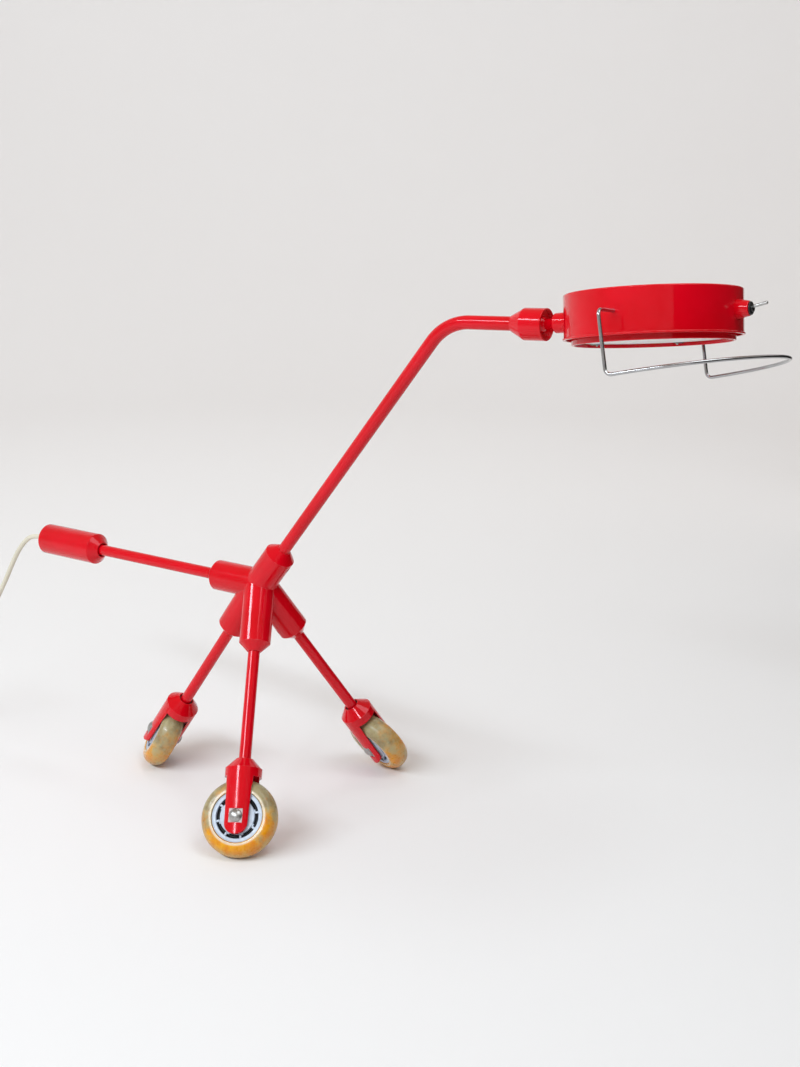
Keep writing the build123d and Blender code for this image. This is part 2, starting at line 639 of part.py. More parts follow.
def bail_path():
    """One bent wire: in through each side of the drum, down, then forward round a half circle."""
    inner, y, low, bend = DRUM_R - 7, BAIL_HALF, -BAIL_DROP, BAIL_BEND_R
    dip = bend * (1 - 1 / sqrt(2))
    half = [
        Line((0, -inner, 0), (0, bend - y, 0)),
        ThreePointArc((0, bend - y, 0), (0, dip - y, -dip), (0, -y, -bend)),
        Line((0, -y, -bend), (0, -y, low + bend)),
        ThreePointArc((0, -y, low + bend), (dip, -y, low + dip), (bend, -y, low)),
    ]
    other = [edge.mirror(Plane.XZ) for edge in reversed(half)]
    loop = ThreePointArc((bend, -y, low), (bend + y, 0, low), (bend, y, low))
    return Wire([*half, loop, *other])


def make_bail():
    path = bail_path()
    section = Plane(origin=(0, 7 - DRUM_R, 0), x_dir=(1, 0, 0), z_dir=(0, -1, 0)) * Circle(BAIL_WIRE_R)
    wire = sweep(section, path=path)
    for side in (-1, 1):
        wire = wire + Pos(0, side * (DRUM_R - DRUM_WALL - 1.6), 0) * Rot(90, 0, 0) * Cylinder(2.6, 1.4)
    return wire


# ---------------------------------------------------------------- cord
def cord_path():
    """Straight runs joined by the largest tangent arcs that they allow."""
    exit_point = (stance() * TAIL * Pos(0, 0, WEIGHT_ENDS[1] + GLAND_OUT)).position
    end = Vector(COIL_CENTRE[0] - COIL_OUTER_TURN, COIL_CENTRE[1], CORD_R)
    points = [exit_point, *(Vector(*point) for point in CORD_ROUTE), end]
    runs = [after - before for before, after in zip(points, points[1:])]
    radii = []
    for before, after in zip(runs, runs[1:]):
        half_turn = radians(before.get_angle(after)) / 2
        radii.append(0.45 * min(before.length, after.length) / tan(half_turn))
    print("cord runs", [round(run.length, 1) for run in runs])
    print("cord radii", [round(radius, 1) for radius in radii])
    return FilletPolyline(*points, radius=radii)


def make_mains_cord():
    path = cord_path()
    tube = sweep(Plane(origin=path @ 0, z_dir=path % 0) * Circle(CORD_R), path=path)
    print("cord tube length", round(path.length, 1), "volume ratio",
          round(tube.volume / (pi * CORD_R**2 * path.length), 4))
    return tube


def make_cord_coil():
    """Outer shape of two layers of turns lying on the floor."""
    inner, outer = COIL_INNER_TURN - CORD_R, COIL_OUTER_TURN + CORD_R
    edge = CORD_R * 0.6
    ring = turned((inner, edge), (inner + edge, 0), (outer - edge, 0), (outer, edge), (outer, CORD_R + 2),
                  (outer - edge, COIL_TOP), (inner + edge, COIL_TOP), (inner, CORD_R + 2))
    return Pos(*COIL_CENTRE, 0) * ring


def plug_frame():
    """Origin where the plug's relief begins, X the way its pins point."""
    centre = Vector(*COIL_CENTRE, PLUG_H / 2)
    side, ahead = direction(PLUG_HEADING - 90, 0), direction(PLUG_HEADING, 0)
    return Pos(*(centre + side * TOP_LAYER_TURN + ahead * PLUG_START)) * Rot(0, 0, PLUG_HEADING)


def make_plug_body():
    """Moulded two-pin plug: a tapered relief, then a body that widens to the pins' face."""
    relief = Rot(0, 90, 0) * turned((0, 0), (CORD_R + 0.5, 0), (5.2, PLUG_RELIEF + 2), (0, PLUG_RELIEF + 2))
    back, front = PLUG_RELIEF, PLUG_RELIEF + PLUG_LENGTH
    half, waist = PLUG_WIDTH / 2, 7.5
    outline = Polyline((back, -waist), (back + 18, -half), (front, -half), (front, half), (back + 18, half),
                       (back, waist), close=True)
    body = extrude(Pos(0, 0, -PLUG_H / 2) * make_face(outline), PLUG_H)
    body = fillet(body.edges().filter_by(Axis.Z), 3.0)
    body = fillet(body.faces().sort_by(Axis.Z)[-1].edges() + body.faces().sort_by(Axis.Z)[0].edges(), 2.0)
    return relief + body


def make_plug_pins():
    start = PLUG_RELIEF + PLUG_LENGTH
    end = start + PIN_LENGTH
    pins = []
    for side in (-0.5, 0.5):
        pin = turned((0, start), (PIN_R, start), (PIN_R, end - 1), (PIN_R - 1, end), (0, end))
        pins.append(Pos(0, side * PIN_SPACING, 0) * Rot(0, 90, 0) * pin)
    return group(pins)


PARTS = {}


def make_all():
    stand = stance()

    def place(name, frame, shape):
        PARTS[name] = stand * frame * shape

    here = Location()
    place("hub", here, make_hub())
    place("set_screws", here, make_set_screws())
    place("swivel_screws", here, group([leg_frame(side) * make_swivel_screw() for side in LEG_AZIMUTHS]))
    place("tail_rod", TAIL, make_tail_rod())
    place("counterweight", TAIL, make_counterweight())
    place("cord_gland", TAIL, make_cord_gland())
    for side in LEG_AZIMUTHS:
        place(f"leg_rod_{side}", leg_frame(side), make_leg_rod())
        place(f"fork_{side}", fork_frame(side), make_fork())
        place(f"swivel_bush_{side}", fork_frame(side), make_swivel_bush())
        place(f"axle_barrel_{side}", wheel_frame(side), make_axle_barrel())
        place(f"axle_screw_{side}", wheel_frame(side), make_axle_screw())
        place(f"axle_seats_{side}", wheel_frame(side), make_axle_seats())
        place(f"tyre_{side}", wheel_frame(side), make_tyre())
        place(f"wheel_core_{side}", wheel_frame(side), make_wheel_core())
        place(f"bearings_{side}", wheel_frame(side), make_bearings())
        place(f"bearing_spacer_{side}", wheel_frame(side), make_bearing_spacer())
    place("neck_tube", here, make_neck_tube())
    place("ball_cup", CUP, make_ball_cup())
    ball = UPPER * Pos(0, 0, BALL_DISTANCE)
    place("ball_collar", ball, make_ball_collar())
    place("ball_seat_outer", ball, make_ball_seat("outer"))
    place("ball_seat_inner", ball, make_ball_seat("inner"))
    place("ball_stem", STEM, make_ball_stem())
    place("stem_nut", STEM, make_stem_nut())
    place("drum_shell", HEAD, make_drum_shell())
    place("inner_ring", HEAD, make_inner_ring())
    place("diffuser", HEAD, make_diffuser())
    place("diffuser_clips", HEAD, make_diffuser_clips())
    place("reflector", HEAD, make_reflector())
    place("lampholder", HEAD, make_lampholder())
    place("lamp_capsule", HEAD, make_lamp_capsule())
    place("switch_boss", SWITCH, make_switch_boss())
    place("switch_body", SWITCH, make_switch_body())
    place("switch_collar", SWITCH, make_switch_collar())
    place("toggle_lever", TOGGLE * Rot(0, 90, 0), make_toggle_lever())
    place("bail_wire", BAIL, make_bail())
    PARTS["mains_cord"] = make_mains_cord()
    PARTS["cord_coil"] = make_cord_coil()
    PARTS["plug_body"] = plug_frame() * make_plug_body()
    PARTS["plug_pins"] = plug_frame() * make_plug_pins()


make_all()
os.makedirs("parts", exist_ok=True)
for name, shape in PARTS.items():
    export_step(shape, f"parts/{name}.step")
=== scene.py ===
"""Looks of the rolling desk lamp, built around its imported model, in metres.

The outline of a turned piece is written in millimetres, as (radius, height, rounding), in the
piece's own frame.
"""
import json
from math import acos, cos, pi, radians, sin, sqrt, tan

import bmesh
import bpy
from mathutils import Matrix, Vector


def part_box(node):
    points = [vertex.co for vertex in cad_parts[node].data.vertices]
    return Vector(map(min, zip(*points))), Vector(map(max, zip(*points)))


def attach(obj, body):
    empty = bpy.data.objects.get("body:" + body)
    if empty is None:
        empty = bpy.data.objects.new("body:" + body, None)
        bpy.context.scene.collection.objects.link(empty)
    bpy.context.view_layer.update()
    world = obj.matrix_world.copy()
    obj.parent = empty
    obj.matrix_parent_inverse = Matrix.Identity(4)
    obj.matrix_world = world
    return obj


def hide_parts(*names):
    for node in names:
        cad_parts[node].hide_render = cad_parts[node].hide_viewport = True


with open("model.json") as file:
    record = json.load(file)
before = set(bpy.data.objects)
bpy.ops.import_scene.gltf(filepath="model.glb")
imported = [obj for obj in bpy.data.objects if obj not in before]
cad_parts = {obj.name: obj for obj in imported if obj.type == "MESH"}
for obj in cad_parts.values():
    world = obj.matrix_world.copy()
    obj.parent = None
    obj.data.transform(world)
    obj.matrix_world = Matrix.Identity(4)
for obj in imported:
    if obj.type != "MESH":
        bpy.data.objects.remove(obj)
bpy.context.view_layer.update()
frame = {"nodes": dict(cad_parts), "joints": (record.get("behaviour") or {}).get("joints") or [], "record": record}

MM = 0.001
SIDES = ("right", "left", "rear")
JOINTS = {joint["name"]: joint for joint in frame["joints"]}


# ---------------------------------------------------------------- camera
def make_camera():
    """The camera's place, the way it looks and its lean."""
    place, azimuth, pitch, lean = (0.7820, -1.0940, 0.6383), 123.23, -14.08, 0.56
    data = bpy.data.cameras.new("camera")
    data.sensor_fit = "HORIZONTAL"
    data.sensor_width = 36.0
    data.lens = 63.56
    camera = bpy.data.objects.new("camera", data)
    heading = Matrix.Rotation(radians(azimuth - 90), 4, "Z")
    turn = heading @ Matrix.Rotation(radians(90 + pitch), 4, "X")
    camera.matrix_world = Matrix.Translation(place) @ turn @ Matrix.Rotation(radians(lean), 4, "Z")
    bpy.context.scene.collection.objects.link(camera)
    bpy.context.scene.camera = camera


make_camera()


# ---------------------------------------------------------------- frames
def joint_place(name):
    return Vector(JOINTS[name]["pos_m"])


def joint_axis(name):
    return Vector(JOINTS[name]["axis"]).normalized()


def frame_at(origin, z, x):
    """Matrix whose Z runs along z and whose X is as near x as a right angle allows."""
    z = Vector(z).normalized()
    y = z.cross(Vector(x)).normalized()
    x = y.cross(z)
    return Matrix.Translation(origin) @ Matrix((x, y, z)).transposed().to_4x4()


def turn_about(axis, degrees):
    return Matrix.Rotation(radians(degrees), 4, axis)


FORK_WEB = 195.2                 # hub point to the fork's turning point, in millimetres
LEGS = {side: joint_axis(f"fork_swivel_{side}") for side in SIDES}
HUB = joint_place("fork_swivel_right") - LEGS["right"] * FORK_WEB * MM
HUB_UP = -(LEGS["right"] + LEGS["left"] + LEGS["rear"]).normalized()
HUB_LEFT = (LEGS["left"] - LEGS["right"]).normalized()
HUB_AHEAD = HUB_LEFT.cross(HUB_UP).normalized()
FORKS = {side: frame_at(HUB, LEGS[side], joint_axis(f"wheel_spin_{side}")) for side in SIDES}
WHEELS = {
    side: frame_at(joint_place(f"wheel_spin_{side}"), joint_axis(f"wheel_spin_{side}"), -LEGS[side])
    for side in SIDES
}
TAIL = frame_at(HUB, -HUB_AHEAD, HUB_UP)
UPPER_ELEVATION = radians(2.5)   # slope of the arm's upper run
UPPER_ALONG = HUB_AHEAD * cos(UPPER_ELEVATION) + HUB_UP * sin(UPPER_ELEVATION)
BALL_CENTRE = joint_place("head_roll")
BAIL_TILT = 6.3                  # degrees that the bail's loop tips up from the drum's plane
CUP = frame_at(BALL_CENTRE, UPPER_ALONG, HUB_LEFT)
HEAD_AHEAD = joint_axis("head_roll")
HEAD_LEFT = joint_axis("bail_swing")
STEM = frame_at(BALL_CENTRE, HEAD_AHEAD, HEAD_LEFT)
HEAD = frame_at(joint_place("bail_swing"), HEAD_AHEAD.cross(HEAD_LEFT), HEAD_AHEAD)
BAIL = HEAD @ turn_about("Y", -BAIL_TILT)


# ---------------------------------------------------------------- mesh tools
def add_object(name, bm, place=Matrix(), body=None, stands_for=()):
    """Smooth mesh object in its own frame, riding on a body and standing for CAD nodes."""
    bmesh.ops.recalc_face_normals(bm, faces=bm.faces)
    mesh = bpy.data.meshes.new(name)
    bm.to_mesh(mesh)
    bm.free()
    mesh.polygons.foreach_set("use_smooth", [True] * len(mesh.polygons))
    piece = bpy.data.objects.new(name, mesh)
    bpy.context.scene.collection.objects.link(piece)
    piece.matrix_world = place
    if body:
        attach(piece, body)
        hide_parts(*stands_for)
    return piece


def weight_normals(piece):
    """Flat and straight faces keep their own normals, so only the rounded edges shade as round."""
    modifier = piece.modifiers.new("weighted_normals", "WEIGHTED_NORMAL")
    modifier.weight = 100
    modifier.keep_sharp = True


def bevel_edges(piece, width):
    """Round the sharp edges of a piece by a bevel of this width in millimetres."""
    bevel = piece.modifiers.new("edges", "BEVEL")
    bevel.width = width * MM
    bevel.segments = 3
    bevel.limit_method = "ANGLE"
    bevel.angle_limit = radians(35)
    weight_normals(piece)


def rounded(corners, closed):
    """Outline points, each corner that has a rounding replaced by an arc."""
    arc_steps = 4
    points = []
    count = len(corners)
    for i, corner in enumerate(corners):
        here = Vector(corner[:2])
        radius = corner[2] if len(corner) > 2 else 0.0
        if not radius or (not closed and i in (0, count - 1)):
            points.append(here)
            continue
        before = Vector(corners[i - 1][:2]) - here
        after = Vector(corners[(i + 1) % count][:2]) - here
        half = acos(max(-1.0, min(1.0, before.normalized().dot(after.normalized())))) / 2
        reach = min(radius / tan(half), 0.45 * before.length, 0.45 * after.length)
        radius = reach * tan(half)
        centre = here + (before.normalized() + after.normalized()).normalized() * radius / sin(half)
        start = here + before.normalized() * reach - centre
        end = here + after.normalized() * reach - centre
        for k in range(arc_steps + 1):
            share = start.lerp(end, k / arc_steps)
            points.append(centre + share.normalized() * radius)
    return points


def add_circle(bm, radius, height, steps):
    """Ring of vertices about Z, or a single one where the outline meets the axis."""
    on_axis = radius < 1e-6
    angles = [2 * pi * i / steps for i in range(1 if on_axis else steps)]
    return [bm.verts.new((radius * cos(a), radius * sin(a), height)) for a in angles]


def join_rings(bm, low, high):
    """Faces between two rings, either of which may be a single vertex."""
    steps = max(len(low), len(high))
    for i in range(steps):
        k = (i + 1) % steps
        corners = (low[i % len(low)], low[k % len(low)], high[k % len(high)], high[i % len(high)])
        bm.faces.new(list(dict.fromkeys(corners)))


def turned(name, corners, place, body, stands_for, closed=False, steps=96):
    """Piece of revolution about its frame's Z; an outline that misses the axis is closed."""
    bm = bmesh.new()
    rings = [add_circle(bm, r * MM, z * MM, steps) for r, z in rounded(corners, closed)]
    following = rings[1:] + (rings[:1] if closed else [])
    for low, high in zip(rings, following):
        join_rings(bm, low, high)
    piece = add_object(name, bm, place, body, stands_for)
    weight_normals(piece)
    return piece


def bent_line(points, radii, step):
    """Points along straight runs joined by tangent arcs, an arc's points a step of angle apart."""
    line = [Vector(points[0])]
    for before, here, after, radius in zip(points, points[1:], points[2:], radii):
        before, here, after = Vector(before), Vector(here), Vector(after)
        back, ahead = (before - here).normalized(), (after - here).normalized()
        half = acos(max(-1.0, min(1.0, back.dot(ahead)))) / 2
        centre = here + (back + ahead).normalized() * radius / sin(half)
        start = here + back * radius / tan(half) - centre
        end = here + ahead * radius / tan(half) - centre
        sweep = pi - 2 * half
        count = max(4, int(sweep / step))
        for k in range(count + 1):
            share = k / count
            turn = (start * sin((1 - share) * sweep) + end * sin(share * sweep)) / sin(sweep)
            line.append(centre + turn)
    line.append(Vector(points[-1]))
    return line


def pipe(name, line, radius, place, body, stands_for, steps):
    """Round bar along a line in millimetres, its ends flat discs with a small edge."""
    line = [point * MM for point in line]
    radius *= MM
    edge = min(0.3 * MM, radius * 0.3)
    tangents = []
    for i in range(len(line)):
        ahead, behind = line[min(i + 1, len(line) - 1)], line[max(i - 1, 0)]
        tangents.append((ahead - behind).normalized())
    side = tangents[0].orthogonal().normalized()
    bm = bmesh.new()
    rings = []

    def add_ring(centre, across, upward, size):
        ring = []
        for i in range(steps):
            angle = 2 * pi * i / steps
            ring.append(bm.verts.new(centre + (across * cos(angle) + upward * sin(angle)) * size))
        rings.append(ring)

    for i, (centre, tangent) in enumerate(zip(line, tangents)):
        side = (side - tangent * side.dot(tangent)).normalized()
        up = tangent.cross(side)
        if i == 0:
            add_ring(centre, side, up, radius - edge)
            add_ring(centre + tangent * edge, side, up, radius)
        elif i == len(line) - 1:
            add_ring(centre - tangent * edge, side, up, radius)
            add_ring(centre, side, up, radius - edge)
        else:
            add_ring(centre, side, up, radius)
    for low, high in zip(rings, rings[1:]):
        join_rings(bm, low, high)
    bm.faces.new(rings[0][::-1])
    bm.faces.new(rings[-1])
    piece = add_object(name, bm, place, body, stands_for)
    weight_normals(piece)
    return piece


# ---------------------------------------------------------------- cord
CORD_R = 2.75 * MM
WEIGHT_END = 0.3205              # hub point to the strain relief's end, along the tail
COIL_CENTRE = Vector((-0.4952, -0.1180, 0))
PLUG_PLACE = (radians(-145), 0.0412, 0.007)   # turn and reach from the coil's centre, height
PLUG_HEADING = radians(-55)
PLUG_START = 0.024               # end of the plug's own relief
CORD_ROUTE = [
    (-0.4396, 0.0, 0.2342),
    (-0.4535, -0.0003, 0.2285),
    (-0.4706, -0.0015, 0.2098),
    (-0.4941, -0.0040, 0.1660),
    (-0.5171, -0.0120, 0.1240),
    (-0.5316, -0.0300, 0.0820),
    (-0.5381, -0.0540, 0.0440),
    (-0.5386, -0.0780, 0.0145),
    (-0.5383, -0.0980, CORD_R),
]


def coil_points():
    """Bottom layer wound inwards, then a top layer wound outwards, one diameter apart."""
    inner, pitch = 23.5 * MM, 5.6 * MM
    bottom_turns, rise_turns, top_turns = 3.5, 0.437, 3.16
    rise = 2 * CORD_R
    per_turn = 20
    count = round((bottom_turns + rise_turns + top_turns) * per_turn)
    points = []
    for k in range(count + 1):
        turns = k / per_turn
        radius = inner + pitch * max(bottom_turns - turns, turns - bottom_turns - rise_turns, 0)
        share = max(0.0, min(1.0, (turns - bottom_turns) / rise_turns))
        height = CORD_R + rise * share * share * (3 - 2 * share)
        angle = pi + 2 * pi * turns
        points.append(COIL_CENTRE + Vector((radius * cos(angle), radius * sin(angle), height)))
    return points


def make_cord():
    """One spline from the strain relief, round the coil and into the plug's relief."""
    low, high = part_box("cord_gland")
    exit_point = Vector((low.x, (low.y + high.y) / 2, HUB.z - HUB_AHEAD.z * WEIGHT_END))
    turn, reach, height = PLUG_PLACE
    plug_start = COIL_CENTRE + Vector((cos(turn) * reach, sin(turn) * reach, height))
    plug_start += Vector((cos(PLUG_HEADING), sin(PLUG_HEADING), 0)) * PLUG_START
    points = [exit_point, *(Vector(point) for point in CORD_ROUTE), *coil_points(), plug_start]
    data = bpy.data.curves.new("mains_lead", "CURVE")
    data.dimensions = "3D"
    data.bevel_depth = 1.0
    data.bevel_resolution = 8
    spline = data.splines.new("NURBS")
    spline.points.add(len(points) - 1)
    for spline_point, point in zip(spline.points, points):
        spline_point.co = (*point, 1.0)
        spline_point.radius = CORD_R
    spline.order_u = 3
    spline.use_endpoint_u = True
    spline.resolution_u = 12
    lead = bpy.data.objects.new("mains_lead", data)
    bpy.context.scene.collection.objects.link(lead)
    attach(lead, "stand")
    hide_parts("mains_cord", "cord_coil")
    return lead


cord = make_cord()


# ---------------------------------------------------------------- material tools
class Shading:
    """A material and the few node patterns that the finishes share."""

    def __init__(self, name, **values):
        self.material = bpy.data.materials.new(name)
        self.material.use_nodes = True
        self.tree = self.material.node_tree
        self.shader = self.tree.nodes["Principled BSDF"]
        self.place = self.node("ShaderNodeTexCoord").outputs["Object"]
        for socket, value in values.items():
            self.shader.inputs[socket.replace("_", " ")].default_value = value

    def node(self, kind, props=None, **inputs):
        made = self.tree.nodes.new(kind)
        for key, value in (props or {}).items():
            setattr(made, key, value)
        for key, value in inputs.items():
            numbered = key[0] == "i" and key[1:].isdigit()
            socket = made.inputs[int(key[1:]) if numbered else key]
            if isinstance(value, bpy.types.NodeSocket):
                self.tree.links.new(value, socket)
            else:
                socket.default_value = value
        return made

    def noise(self, scale, detail=3.0, rough=0.5):
        inputs = {"Vector": self.place, "Scale": scale, "Detail": detail, "Roughness": rough}
        return self.node("ShaderNodeTexNoise", **inputs).outputs["Fac"]

    def ramp(self, value, low, high, start=0.0, end=1.0):
        """Value mapped from low..high to start..end, held at the ends."""
        inputs = {"Value": value, "From Min": low, "From Max": high, "To Min": start, "To Max": end}
        return self.node("ShaderNodeMapRange", **inputs).outputs["Result"]

    def math(self, kind, a, b=0.0):
        return self.node("ShaderNodeMath", {"operation": kind}, i0=a, i1=b).outputs[0]

    def times(self, a, b):
        return self.math("MULTIPLY", a, b)

    def mix(self, share, a, b):
        """Colour between a and b."""
        made = self.node("ShaderNodeMix", {"data_type": "RGBA"})
        for index, value in ((0, share), (6, a), (7, b)):
            if isinstance(value, bpy.types.NodeSocket):
                self.tree.links.new(value, made.inputs[index])
            else:
                made.inputs[index].default_value = value
        return made.outputs[2]

    def edges(self, radius):
        """1 near edges sharper than the radius, 0 on flat and gently curved faces."""
        bevel = self.node("ShaderNodeBevel", {"samples": 4}, Radius=radius).outputs["Normal"]
        plain = self.node("ShaderNodeNewGeometry").outputs["Normal"]
        dot_product = {"operation": "DOT_PRODUCT"}
        product = self.node("ShaderNodeVectorMath", dot_product, i0=bevel, i1=plain)
        return self.ramp(product.outputs["Value"], 0.985, 0.90)

    def use(self, socket, value):
        self.tree.links.new(value, self.shader.inputs[socket])

    def bump(self, height, distance, strength=1.0, soften=0.0):
        inputs = {"Height": height, "Distance": distance, "Strength": strength}
        if soften:
            bevel = self.node("ShaderNodeBevel", {"samples": 4}, Radius=soften)
            inputs["Normal"] = bevel.outputs["Normal"]
        self.use("Normal", self.node("ShaderNodeBump", **inputs).outputs["Normal"])


def colour(red, green, blue):
    return (red, green, blue, 1.0)


def red_enamel():
    """Glossy enamel with faint orange peel, small dents and chips that go pale on the edges."""
    look = Shading("red_enamel", Specular_IOR_Level=0.34, Specular_Tint=colour(1.0, 0.60, 0.66),
                   Coat_Weight=0.2, Coat_Roughness=0.04)
    tone = look.ramp(look.noise(22.0, 4.0), 0.35, 0.65)
    paint = look.mix(tone, colour(0.60, 0.0006, 0.006), colour(0.68, 0.0010, 0.010))
    specks = look.ramp(look.noise(520.0, 2.0, 0.6), 0.72, 0.78, 0.0, 0.35)
    paint = look.mix(specks, paint, colour(0.85, 0.06, 0.07))
    wear = look.ramp(look.noise(260.0, 3.0), 0.48, 0.66, 0.15, 0.8)
    chipped = look.times(look.edges(0.5 * MM), wear)
    look.use("Base Color", look.mix(chipped, paint, colour(0.90, 0.30, 0.32)))
    look.use("Roughness", look.ramp(look.noise(75.0, 4.0, 0.6), 0.3, 0.7, 0.07, 0.15))
    look.bump(look.noise(640.0, 2.0), 0.02 * MM, 0.2, soften=0.35 * MM)
    return look.material


def brushed_steel():
    look = Shading("brushed_steel", Metallic=1.0)
    streaks = look.noise(240.0, 3.0)
    look.use("Base Color", look.mix(streaks, colour(0.34, 0.335, 0.33), colour(0.52, 0.515, 0.50)))
    look.use("Roughness", look.ramp(look.noise(900.0, 3.0), 0.3, 0.7, 0.24, 0.42))
    look.bump(look.noise(1500.0, 2.0), 0.02 * MM, 0.4, soften=0.25 * MM)
    return look.material


def chrome_wire():
    look = Shading("chrome_wire", Metallic=1.0)
    streaks = look.noise(180.0, 3.0)
    look.use("Base Color", look.mix(streaks, colour(0.34, 0.34, 0.35), colour(0.50, 0.50, 0.51)))
    look.use("Roughness", look.ramp(look.noise(600.0, 3.0), 0.35, 0.7, 0.10, 0.26))
    look.bump(look.noise(1200.0, 2.0), 0.02 * MM, 0.25)
    return look.material


def amber_tyre():
    """Cast polyurethane: clear amber where it is deep, grey-green on the rubbed tread, in weathered patches, and
    as painted shade towards the top.
    """
    look = Shading("amber_tyre", Subsurface_Weight=0.08, Subsurface_Scale=5 * MM,
                   Specular_IOR_Level=0.35, Coat_Weight=0.15, Coat_Roughness=0.08)
    look.shader.inputs["Subsurface Radius"].default_value = (1.0, 0.45, 0.10)
    parts = look.node("ShaderNodeSeparateXYZ", Vector=look.place)
    across, down = parts.outputs["X"], parts.outputs["Y"]
    squares = look.math("ADD", look.times(across, across), look.times(down, down))
    reach = look.math("SQRT", squares)
    clouds = look.noise(95.0, 4.0, 0.55)
    depth = look.ramp(clouds, 0.38, 0.62)
    deep = look.mix(depth, colour(0.66, 0.22, 0.004), colour(0.76, 0.35, 0.010))
    # Grey-green patches, random in place but pulled towards the top of the wheel, up the leg: there the grey-green
    # is painted shade under the fork.
    one_sided = look.math("ADD", look.noise(34.0, 4.0, 0.7), look.times(across, 3.4))
    patches = look.ramp(one_sided, 0.42, 0.62)
    cloudy = look.ramp(clouds, 0.35, 0.65)
    aged_and_shaded_tone = look.mix(cloudy, colour(0.19, 0.19, 0.11), colour(0.34, 0.34, 0.21))
    body = look.mix(look.times(patches, 0.85), deep, aged_and_shaded_tone)
    tread = look.ramp(reach, 33.0 * MM, 37.0 * MM)
    rubbed = look.times(tread, look.ramp(clouds, 0.35, 0.62, 0.10, 0.6))
    body = look.mix(rubbed, body, colour(0.38, 0.34, 0.19))
    # Pale ring on the tyre's side next to the core: a painted highlight on its rounded edge.
    outside, inside = look.ramp(reach, 25.6 * MM, 26.2 * MM), look.ramp(reach, 28.6 * MM, 27.6 * MM)
    shoulder_highlight = look.times(look.times(outside, inside), 0.8)
    look.use("Base Color", look.mix(shoulder_highlight, body, colour(0.66, 0.54, 0.36)))
    look.use("Roughness", look.ramp(look.noise(260.0, 4.0), 0.3, 0.7, 0.20, 0.42))
    look.bump(look.noise(420.0, 5.0, 0.65), 0.12 * MM, 0.45)
    return look.material


def moulded(name, low, high, rough):
    """Moulded plastic with a slight variation of tone and a fine grain."""
    look = Shading(name)
    look.use("Base Color", look.mix(look.noise(60.0, 4.0), colour(*low), colour(*high)))
    look.use("Roughness", look.ramp(look.noise(300.0, 3.0), 0.3, 0.7, *rough))
    look.bump(look.noise(1400.0, 2.0), 0.04 * MM, 0.35, soften=0.2 * MM)
    return look.material


def opal_glass():
    look = Shading("opal_glass", Subsurface_Weight=0.5, Subsurface_Scale=4 * MM,
                   Transmission_Weight=0.15)
    clouds = look.noise(30.0, 3.0)
    look.use("Base Color", look.mix(clouds, colour(0.84, 0.84, 0.82), colour(0.90, 0.90, 0.88)))
    look.use("Roughness", look.ramp(look.noise(500.0, 3.0), 0.3, 0.7, 0.30, 0.42))
    look.bump(look.noise(2600.0, 2.0), 0.02 * MM, 0.3)
    return look.material


def clear_glass():
    look = Shading("clear_glass", Transmission_Weight=1.0, IOR=1.46,
                   Base_Color=colour(0.97, 0.98, 0.98))
    look.use("Roughness", look.ramp(look.noise(200.0, 2.0), 0.3, 0.7, 0.01, 0.05))
    return look.material


def polished_metal(name, low, high):
    look = Shading(name, Metallic=1.0)
    look.use("Base Color", look.mix(look.noise(50.0, 3.0), colour(*low), colour(*high)))
    look.use("Roughness", look.ramp(look.noise(300.0, 4.0), 0.3, 0.7, 0.10, 0.25))
    look.bump(look.noise(700.0, 2.0), 0.02 * MM, 0.3)
    return look.material


MATERIALS = {
    "red_paint": red_enamel(),
    "steel": brushed_steel(),
    "chrome_wire": chrome_wire(),
    "amber_tyre": amber_tyre(),
    "white_core": moulded("white_core", (0.36, 0.43, 0.53), (0.47, 0.54, 0.64), (0.22, 0.40)),
    "white_washer": moulded("white_washer", (0.44, 0.33, 0.33), (0.60, 0.50, 0.50), (0.35, 0.55)),
    "black_nylon": moulded("black_nylon", (0.010, 0.010, 0.011), (0.022, 0.022, 0.023), (0.45, 0.62)),
    "black_switch": moulded("black_switch", (0.008, 0.008, 0.008), (0.018, 0.018, 0.018), (0.25, 0.40)),
    "opal_glass": opal_glass(),
    "clear_glass": clear_glass(),
    "spring_clips": polished_metal("spring_clips", (0.26, 0.26, 0.25), (0.40, 0.40, 0.39)),
    "bright_aluminium": polished_metal("bright_aluminium", (0.75, 0.75, 0.76), (0.88, 0.88, 0.88)),
    "ceramic": moulded("ceramic", (0.72, 0.70, 0.64), (0.80, 0.78, 0.72), (0.30, 0.45)),
    "cream_cable": moulded("cream_cable", (0.60, 0.56, 0.44), (0.72, 0.68, 0.56), (0.35, 0.50)),
    "cream_plug": moulded("cream_plug", (0.66, 0.62, 0.50), (0.74, 0.70, 0.58), (0.30, 0.45)),
    "brass": polished_metal("brass", (0.55, 0.40, 0.16), (0.70, 0.54, 0.26)),
}
NODE_SLOTS = {part["node"]: part["material_slot"] for part in frame["record"]["subparts"]}


def finish_in(piece, slot):
    """Give a piece a slot's material."""
    piece.data.materials.clear()
    piece.data.materials.append(MATERIALS[slot])


for node_name, node_object in frame["nodes"].items():
    node_object.data.materials.clear()
    node_object.data.materials.append(MATERIALS[NODE_SLOTS[node_name]])
finish_in(cord, "cream_cable")


# ---------------------------------------------------------------- stand
ROD_R = 6.0
ROD_START = 34.5                 # inner end of each rod, in the hub's socket
LEG_END, TAIL_END = 195.0, 296.0


def make_rod(name, place, end, node):
    outline = [(0, ROD_START), (ROD_R, ROD_START, 0.4), (ROD_R, end, 0.4), (0, end)]
    finish_in(turned(name, outline, place, "stand", [node]), "red_paint")


